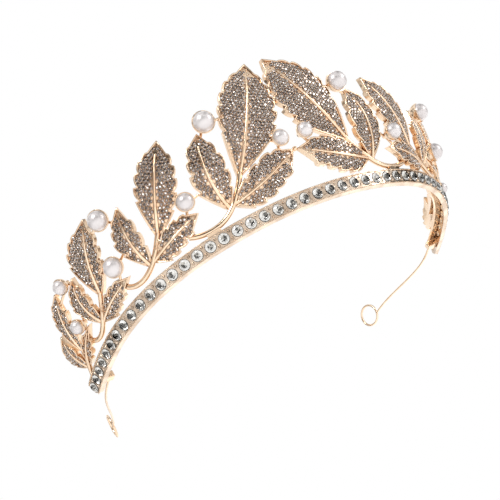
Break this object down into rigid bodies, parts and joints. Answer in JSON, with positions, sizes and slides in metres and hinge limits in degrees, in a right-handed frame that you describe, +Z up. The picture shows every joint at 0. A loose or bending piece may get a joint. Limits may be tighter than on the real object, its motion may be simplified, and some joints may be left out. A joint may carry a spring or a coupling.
{
  "type": "tiara",
  "caption": "Bridal tiara: gem-set serrated leaves on curved stems with small pearls between them rise from a flared band with a row of round stones; a looped wire at each end.",
  "frame": {"origin": "centre of the bounding box seen from above, at the height of the band's flat underside", "axes": "+Z up from the band to the leaf tips, +X to the right seen from the front, +Y towards the back of the head and the wire loops"},
  "size_m": [0.1662, 0.1441, 0.0509],
  "materials": {
    "gold": "bright pale champagne-gold plating",
    "crystal": "clear foiled faceted crystal",
    "pearl": "white pearl lustre"
  },
  "bodies": {
    "root": {"band_rail": "gold", "band_stones": "crystal", "band_studs": "gold", "centre_links": "gold", "crimp_left": "gold", "crimp_right": "gold", "end_wire_left": "gold", "end_wire_right": "gold", "inner_rail": "gold", "leaf_left_1_inner": "gold", "leaf_left_1_main": "gold", "leaf_left_1_outer": "gold", "leaf_left_2_inner": "gold", "leaf_left_2_main": "gold", "leaf_left_2_outer": "gold", "leaf_left_3_inner": "gold", "leaf_left_3_main": "gold", "leaf_left_3_outer": "gold", "leaf_left_4_inner": "gold", "leaf_left_4_main": "gold", "leaf_left_4_outer": "gold", "leaf_right_1_inner": "gold", "leaf_right_1_main": "gold", "leaf_right_1_outer": "gold", "leaf_right_2_inner": "gold", "leaf_right_2_main": "gold", "leaf_right_2_outer": "gold", "leaf_right_3_inner": "gold", "leaf_right_3_main": "gold", "leaf_right_3_outer": "gold", "leaf_right_4_inner": "gold", "leaf_right_4_main": "gold", "leaf_right_4_outer": "gold", "pearl_cups_left": "gold", "pearl_cups_right": "gold", "pearl_left_1": "pearl", "pearl_left_2": "pearl", "pearl_left_3": "pearl", "pearl_left_4": "pearl", "pearl_left_5": "pearl", "pearl_left_6": "pearl", "pearl_left_7": "pearl", "pearl_right_1": "pearl", "pearl_right_2": "pearl", "pearl_right_3": "pearl", "pearl_right_4": "pearl", "pearl_right_5": "pearl", "pearl_right_6": "pearl", "pearl_right_7": "pearl", "stem_left_1": "gold", "stem_left_2": "gold", "stem_left_3": "gold", "stem_left_4": "gold", "stem_right_1": "gold", "stem_right_2": "gold", "stem_right_3": "gold", "stem_right_4": "gold"}
  },
  "joints": []
}
